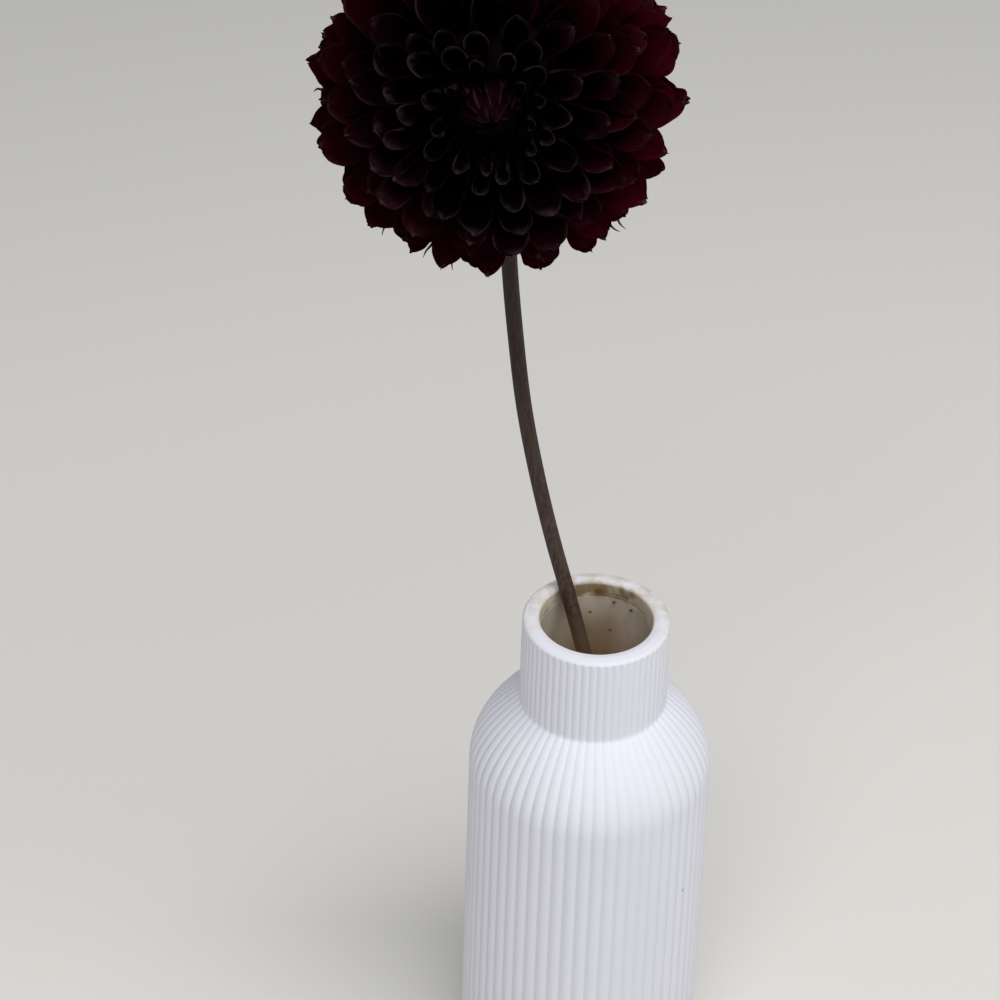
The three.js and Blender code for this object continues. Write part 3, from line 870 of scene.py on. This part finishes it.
def bract_bench(material):
    bench = ShapeBench("bract rule", BRACT_SIZES)
    given = bench.given
    bracts = bench.blades(given["Bracts"], 0)
    number = bench.recall("number")
    across, face, height = bench.parts(bench.node("GeometryNodeInputPosition"))
    along = height + 0.5
    run = (given["Reach"] - given["Root"]) * along
    shape = (along * 2.6 + 0.45).sine().at_least(0.0) ** 0.8
    half = (given["Half width"] * shape * 1.02).at_least(0.25)
    lift = given["Root height"] + given["Droop"] * along + given["Curl"] * run * run
    z = lift + 0.5 * across * across + face * 0.5 * given["Thickness"]
    turn = (number + given["Offset"]) * 2 * math.pi / given["Bracts"]
    x, y = given["Root"] + run, across * half
    place = bench.vector(x * turn.cosine() - y * turn.sine(), x * turn.sine() + y * turn.cosine(), z)
    both = bench.node("GeometryNodeJoinGeometry", sockets={"Geometry": bench.moved(bracts, place)})
    bench.tree.links.new(given["Geometry"].socket, both.socket.node.inputs["Geometry"])
    bench.settle(both, material, HEAD_CENTRE, HEAD_RAISE)
    return bench


CUP = [
    (0, -34),
    (2.5, -34),
    (3.0, -33),
    (3.6, -32),
    (5.8, -30.6),
    (8.3, -28.9),
    (9.3, -27.6),
    (9.0, -27.3),
    (0, -27.3),
]
CUP_SIDES = 48
bract_rule = bract_bench(bract_green)
inner = bract_rule.grow("inner_bracts", turned_mesh("cup", CUP, CUP_SIDES))
outer = bract_rule.grow(
    "outer_bracts",
    Bracts=5,
    Offset=0.25,
    Half_width=2.6,
    Root=4.2,
    Reach=16.5,
    Root_height=-30.4,
    Droop=1.0,
    Curl=-0.039,
)
for piece in (inner, outer):
    stand_for(piece, "bract_green", "calyx")

# %% [markdown]
# ## The vase
# A bisque bottle vase: a ribbed body, a rounded shoulder, a short ribbed neck and a plain rounded
# lip. The outside and the hollow are one outline, so the wall is closed and has its true thickness.
# It is turned with ten steps to a rib, which leaves points enough to press the grooves in later.

# %% The vase's sizes, in millimetres
VASE_HEIGHT = 200
FOOT_RADIUS = 43
FOOT_CHAMFER = 1.2
BODY_RADIUS = 40.1
SHOULDER_DROP = 27.7
SHOULDER_SLOPE = math.radians(46)
SHOULDER_START_PULL = 4.3
SHOULDER_END_PULL = 13.3
NECK_HEIGHT = 32
NECK_FOOT_RADIUS = 24
LIP_RADIUS = 23.5
LIP_ROUNDING = 1.5
RIM_ROUNDING = 1.0
LIP_CROWN = 0.25
MOUTH_RADIUS = 18
WALL = 5
FLOOR = 6
RIBS = 60
STEPS_PER_RIB = 10
print("vase", VASE_HEIGHT, "mm high,", 2 * FOOT_RADIUS, "mm across its foot, with", RIBS, "ribs")

# %% The vase's outline


def straight(start, end, steps):
    """Points from start up to, but without, end."""
    shares = np.arange(steps) / steps
    return [tuple(np.array(start) + share * (np.array(end) - np.array(start))) for share in shares]


def shoulder(inset, steps):
    """From the body up to the neck's foot, a cubic curve as on the frame's vase."""
    start = np.array((NECK_FOOT_RADIUS - inset, VASE_HEIGHT - NECK_HEIGHT - inset / 2))
    end = np.array((BODY_RADIUS - inset, VASE_HEIGHT - NECK_HEIGHT - SHOULDER_DROP))
    pull = SHOULDER_START_PULL * np.array((math.cos(SHOULDER_SLOPE), -math.sin(SHOULDER_SLOPE)))
    ends = [end, end + (0, SHOULDER_END_PULL), start + pull, start]
    points = []
    for t in np.linspace(0, 1, steps + 1):
        weights = ((1 - t) ** 3, 3 * t * (1 - t) ** 2, 3 * t * t * (1 - t), t**3)
        points.append(tuple(sum(w * point for w, point in zip(weights, ends))))
    return points


def arc(centre, radius, start, end, steps):
    """Points on a circle from one angle to another, in degrees, both ends included."""
    turns = np.radians(np.linspace(start, end, steps + 1))
    return [(centre[0] + radius * math.cos(t), centre[1] + radius * math.sin(t)) for t in turns]


def bore_points(inset):
    """The hollow's wall from the rim's rounding down to the floor, drawn in by an inset."""
    shoulder_foot = shoulder(WALL + inset, 8)
    points = straight((MOUTH_RADIUS - inset, VASE_HEIGHT - RIM_ROUNDING), shoulder_foot[-1], 10)
    points += shoulder_foot[::-1]
    low, side = FLOOR + inset, FOOT_RADIUS - WALL - inset
    return points + [(side, low + 3), (side - 0.9, low + 0.9), (side - 3, low), (0, low)]


def vase_outline():
    foot = [(0, 0), (FOOT_RADIUS - FOOT_CHAMFER - 4, 0), (FOOT_RADIUS - FOOT_CHAMFER, 0)]
    foot += [(FOOT_RADIUS - 0.35, 0.35)]
    body_top = (BODY_RADIUS, VASE_HEIGHT - NECK_HEIGHT - SHOULDER_DROP)
    body = straight((FOOT_RADIUS, FOOT_CHAMFER), body_top, 20)
    curve = shoulder(0, 24)
    neck = straight(curve[-1], (LIP_RADIUS, VASE_HEIGHT - LIP_ROUNDING), 24)[1:]
    crown = VASE_HEIGHT - LIP_CROWN
    outer = arc((LIP_RADIUS - LIP_ROUNDING, crown - LIP_ROUNDING), LIP_ROUNDING, 0, 90, 8)
    inner = arc((MOUTH_RADIUS + RIM_ROUNDING, crown - RIM_ROUNDING), RIM_ROUNDING, 90, 180, 6)
    top = straight(outer[-1], inner[0], 6)[1:]
    top = [(r, z + LIP_CROWN * math.sin(math.pi * (i + 1) / 6)) for i, (r, z) in enumerate(top)]
    outside = foot + body + curve + neck + outer + top
    inside = inner + bore_points(0)[1:]
    fade = [1 - (i + 1) / len(inner) for i in range(len(inner))]
    return outside + inside, [1.0] * len(outside) + fade + [0.0] * (len(inside) - len(inner))


outline, outer_marks = vase_outline()
print("vase outline of", len(outline), "points")

# %% [markdown]
# Bisque is fired clay without a glaze: matt, white, with a fine grain, and a little darker in its grooves.
# The rough inside takes up what stands in the water. It is tan, with a darker band above the water,
# partly a stain where the water has dried and partly painted shade under the back rim, a thin line
# where the water has dried, a spot of rust, and a few stains that run over the rim. Low in the middle
# it is painted darker still, as shade deep in the vase. All of it follows from height, place and
# noise, so that it sits on the vase and not on the view.

# %% The vase's finish
BISQUE_WHITE = (0.72, 0.725, 0.79, 1)
BISQUE_CLOUD = (0.68, 0.685, 0.745, 1)
GROOVE_GREY = (0.50, 0.50, 0.50, 1)
INSIDE_CLEAN = (0.76, 0.67, 0.56, 1)
INSIDE_TAN = (0.23, 0.165, 0.09, 1)
INSIDE_DEEP_SHADE = (0.26, 0.155, 0.055, 1)
RUST_BROWN = (0.13, 0.055, 0.018, 1)
RIM_TAN = (0.50, 0.44, 0.34, 1)
SPECK_GREY = (0.20, 0.17, 0.14, 1)
# Places and reaches in millimetres.
RUST_PLACE = (0.3, 17.6, 195.7)
RUST_REACH = 2.8
SPECK_PLACE = (33.4, -23.5, 104.2)
SPECK_REACH = 1.0
# Heights in metres, as the finish reads them.
STAIN_AND_SHADE_BAND = (0.192, 0.196)
STAIN_LINE = 0.1943
DEEP_SHADE_PART = (0.178, 0.1945)
RIM_TOP = (0.1985, 0.1995)


def vase_finish():
    bench = FinishBench("bisque", Specular_IOR_Level=0.35)
    place = bench.place()
    outer_side, groove = bench.mark("outer"), bench.mark("groove")
    grain = bench.noise(place, 2600.0, 4.0, 0.6)
    cloud = bench.noise(place, 38.0, 3.0)
    white = bench.mix(cloud, BISQUE_WHITE, BISQUE_CLOUD)
    # The outside is a little darker in its grooves.
    outer_colour = bench.mix(groove.smooth(0.45, 1.0) * 0.06, white, GROOVE_GREY)
    stain = bench.noise(bench.stretched(place, 1, 1, 0.35), 150.0, 4.0, 0.6)
    side, back, height = bench.parts(place)
    blotch = bench.noise(place, 210.0, 4.0, 0.6).smooth(0.30, 0.70)
    # Part stain, part painted shade: a darker band on the back wall under the rim, fading on the right where
    # light falls.
    stain_and_shade_band = height.smooth(*STAIN_AND_SHADE_BAND) * (back + 0.15 * side).smooth(0.0, 0.016) * (0.45 + 0.8 * blotch)
    stain_and_shade_band = stain_and_shade_band * (1 - 0.6 * side.smooth(0.009, 0.015))
    # Painted shade: the inner wall is darker low down and in the middle, as deep inside the vase.
    deep_shade = (1 - height.smooth(*DEEP_SHADE_PART)) * (1 - side.size().smooth(0.003, 0.013))
    line = (1 - (height - STAIN_LINE).size().smooth(0.0001, 0.0006)) * blotch
    stain_and_shade = (stain.smooth(0.35, 0.7) * 0.24 + stain_and_shade_band + 0.5 * line).at_most(1.0)
    inside = bench.mix(stain_and_shade, INSIDE_CLEAN, INSIDE_TAN)
    inside = bench.mix(deep_shade * 0.68, inside, INSIDE_DEEP_SHADE)
    rust = bench.near(RUST_PLACE, RUST_REACH) * stain.smooth(0.3, 0.55)
    inside = bench.mix(rust * 0.85, inside, RUST_BROWN)
    rim_stain = height.smooth(*RIM_TOP) * back.smooth(-0.02, 0.012) * blotch
    outer_colour = bench.mix(rim_stain * 0.8, outer_colour, RIM_TAN)
    colour = bench.mix(outer_side, inside, outer_colour)
    speck = bench.near(SPECK_PLACE, SPECK_REACH)
    colour = bench.mix(speck * 0.8, colour, SPECK_GREY)
    roughness = 0.52 + 0.2 * grain
    return bench.vary(Base_Color=colour, Roughness=roughness, height=grain, depth=0.05)


bisque = vase_finish()
print("vase finish", bisque.name)

# %% [markdown]
# The ribs are rounded reeds with narrow grooves between, as a fluted mould leaves them. Cutting sixty
# grooves away would need sixty cutters and leave rough edges. The tree moves the points of the turned
# mesh instead, by their angle from the nearest reed, and fades the grooves out at the foot and the lip.

# %% The ribs
RIB_SIZES = {
    "Ribs": RIBS,
    "Body groove": 0.75,
    "Neck groove": 0.4,
    "Shoulder foot": VASE_HEIGHT - NECK_HEIGHT - SHOULDER_DROP,
    "Neck foot": float(VASE_HEIGHT - NECK_HEIGHT),
    "Foot": 0.2,
    "Lip foot": VASE_HEIGHT - 0.9,
    "Fade": 1.2,
    "Sharpness": 0.8,
}


def rib_bench(material):
    bench = ShapeBench("rib rule", RIB_SIZES)
    given = bench.given
    x, y, z = bench.parts(bench.node("GeometryNodeInputPosition"))
    radius = (x * x + y * y).root().at_least(0.01)
    turn = y.arc_tangent(x) * given["Ribs"] / (2 * math.pi)
    from_crest = 2 * (turn + 0.5).fraction() - 1
    deepest = 1 - (1 - given["Sharpness"] ** 2).root()
    bow = from_crest * given["Sharpness"]
    groove = (1 - (1 - bow * bow).root()) / deepest
    rise = z.smooth(given["Shoulder foot"], given["Neck foot"])
    depth = given["Body groove"] + (given["Neck groove"] - given["Body groove"]) * rise
    foot_fade = z.smooth(given["Foot"], given["Foot"] + given["Fade"])
    lip_fade = 1 - z.smooth(given["Lip foot"] - given["Fade"], given["Lip foot"])
    fades = foot_fade * lip_fade
    pressed = groove * fades * bench.recall("outer")
    scale = 1 - depth * pressed / radius
    marked = bench.store(given["Geometry"], "groove", pressed)
    bench.settle(bench.moved(marked, bench.vector(x * scale, y * scale, z)), material)
    return bench


start = turned_mesh("vase outline", outline, RIBS * STEPS_PER_RIB, outer_marks)
vase = rib_bench(bisque).grow("ribbed_vase", start)
stand_for(vase, "bisque", "vase")

# %% [markdown]
# ## The water
# The water fills the hollow and climbs a little where it meets the wall, which is called a
# meniscus. It is clear, a little cloudy and tan, and see-through by alpha, which an exported model
# keeps: the stained wall and the stem show through it. Towards the front it is painted darker and
# less clear, as shade under the front lip.

# %% Water
WATER_LEVEL = VASE_HEIGHT - 7
FLOATING_BITS = [(-2.2, 10.8), (5.4, 16.2), (11.0, 12.5), (4.5, 2.1)]
BIT_REACH = 0.9
WATER_INSET = 0.12
MENISCUS = 0.8
MENISCUS_REACH = 0.7
WATER_CLEAR = (0.105, 0.055, 0.020, 1)
WATER_CLOUDY = (0.17, 0.10, 0.045, 1)
WATER_FRONT_SHADE = (0.085, 0.032, 0.004, 1)
BIT_BROWN = (0.020, 0.011, 0.007, 1)
# The water is painted dark at the front, as shade under the front lip, and turns clear between these two, in
# metres.
FRONT_SHADE_SPAN = (-0.016, 0.006)
WATER_SIDES = 96


def water_finish():
    bench = FinishBench("vase water", Roughness=0.04, IOR=1.33)
    cloud = bench.noise(bench.place(), 70.0, 3.0)
    clear = bench.mix(cloud, WATER_CLEAR, WATER_CLOUDY)
    # Painted shade: darker and less clear towards the front, as under the front lip.
    front = 1 - bench.parts(bench.place())[1].smooth(*FRONT_SHADE_SPAN)
    clear = bench.mix(front, clear, WATER_FRONT_SHADE)
    bits = sum(bench.near((x, y, WATER_LEVEL), BIT_REACH) for x, y in FLOATING_BITS)
    colour = bench.mix(bits.at_most(1.0), clear, BIT_BROWN)
    ripple = bench.noise(bench.place(), 120.0, 1.0)
    cover = (0.11 + 0.31 * front + bits).at_most(0.9)
    return bench.vary(Base_Color=colour, Alpha=cover, height=ripple, depth=0.15)


def water_outline():
    under = [point for point in bore_points(WATER_INSET) if point[1] < WATER_LEVEL]
    side = MOUTH_RADIUS - WATER_INSET
    surface = []
    for away in (3, 1.6, 0.8, 0.3, 0):
        surface.append((side - away, WATER_LEVEL + MENISCUS * math.exp(-away / MENISCUS_REACH)))
    return [*surface, *under]


start = turned_mesh("water outline", [(0, WATER_LEVEL), *water_outline()], WATER_SIDES)
water = placed_bench("water place", water_finish()).grow("clear_water", start)
stand_for(water, "vase_water", "water")

# %% [markdown]
# ## The floor
# A plain pale floor fills the whole background. It is seen in the render but is no piece of the
# object.

# %% Floor
FLOOR_REACH = 6
FLOOR_DARK = (0.685, 0.672, 0.632, 1)
FLOOR_PALE = (0.713, 0.702, 0.662, 1)


def floor_finish():
    bench = FinishBench("pale floor", Roughness=0.9, Specular_IOR_Level=0.1)
    weave = bench.noise(bench.place(), 900.0, 2.0)
    colour = bench.mix(weave, FLOOR_DARK, FLOOR_PALE)
    return bench.vary(Base_Color=colour)


floor_mesh = bpy.data.meshes.new("floor")
corners = [(-1, -1), (1, -1), (1, 1), (-1, 1)]
floor_mesh.from_pydata([(FLOOR_REACH * x, FLOOR_REACH * y, 0) for x, y in corners], [], [(0, 1, 2, 3)])
floor_mesh.materials.append(floor_finish())
floor = bpy.data.objects.new("floor", floor_mesh)
scene.collection.objects.link(floor)
print("floor", 2 * FLOOR_REACH, "m across")

# %% [markdown]
# ## Sizes
# Here the finer bloom passes the frame's solids by up to 2.2 mm.
